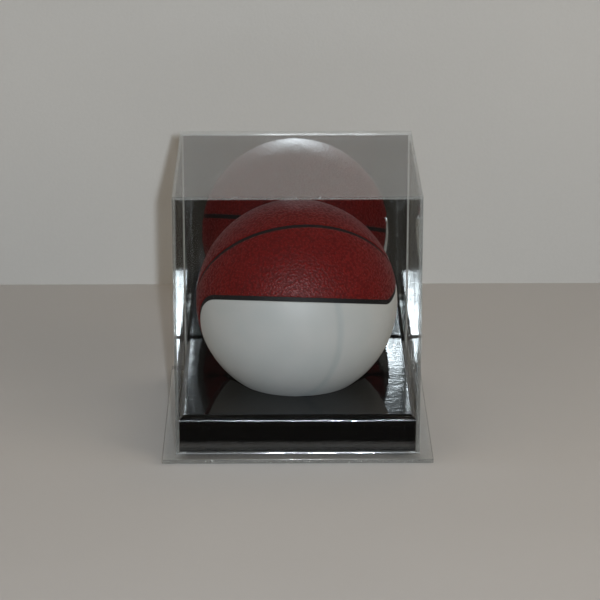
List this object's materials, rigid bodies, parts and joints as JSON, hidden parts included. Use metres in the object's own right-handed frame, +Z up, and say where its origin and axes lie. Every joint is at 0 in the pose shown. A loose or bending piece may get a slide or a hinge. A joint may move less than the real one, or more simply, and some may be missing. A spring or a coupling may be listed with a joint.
{
  "type": "ball display case",
  "caption": "Clear box cover that lifts off a clear base plate with a black riser, an upright mirror back and a basketball in its round seat.",
  "frame": {"origin": "centre of the footprint, on the surface that the feet stand on", "axes": "+Z up, +Y towards the mirror, -Y towards the viewer, +X to the viewer's right"},
  "size_m": [0.314, 0.314, 0.3183],
  "materials": {
    "clear_acrylic": "polished clear acrylic sheet",
    "clear_acrylic_cover": "polished clear acrylic sheet with fine rub marks",
    "black_acrylic": "polished black acrylic",
    "mirror_acrylic": "acrylic mirror",
    "clear_rubber": "soft clear bumper",
    "foam_tape": "double-sided foam tape",
    "black_rubber": "satin moulded rubber",
    "red_leather": "pebbled dark red leather",
    "white_leather": "smooth white leather"
  },
  "bodies": {
    "base": {"base_plate": "clear_acrylic", "foot_back_left": "clear_rubber", "foot_back_right": "clear_rubber", "foot_front_left": "clear_rubber", "foot_front_right": "clear_rubber", "mirror_panel": "mirror_acrylic", "mirror_tape_left": "foam_tape", "mirror_tape_right": "foam_tape", "riser_deck": "black_acrylic", "riser_pad_back_left": "clear_rubber", "riser_pad_back_right": "clear_rubber", "riser_pad_front_left": "clear_rubber", "riser_pad_front_right": "clear_rubber", "riser_skirt_back": "black_acrylic", "riser_skirt_front": "black_acrylic", "riser_skirt_left": "black_acrylic", "riser_skirt_right": "black_acrylic"},
    "cover": {"cover_back": "clear_acrylic_cover", "cover_front": "clear_acrylic_cover", "cover_left": "clear_acrylic_cover", "cover_right": "clear_acrylic_cover", "cover_top": "clear_acrylic_cover"},
    "ball": {"ball_carcass": "black_rubber", "ball_panel_back": "red_leather", "ball_panel_crown": "red_leather", "ball_panel_front": "red_leather", "ball_panel_white": "white_leather", "ball_valve": "black_rubber"}
  },
  "joints": [
    {"name": "cover_lift", "type": "slide", "parent": "base", "child": "cover", "axis": [0, 0, 1], "range_m": [0, 0.32]},
    {"name": "ball_turn", "type": "hinge", "parent": "base", "child": "ball", "pos_m": [0, -0.00165, 0.1489], "axis": [0, 0, 1], "continuous": true}
  ]
}
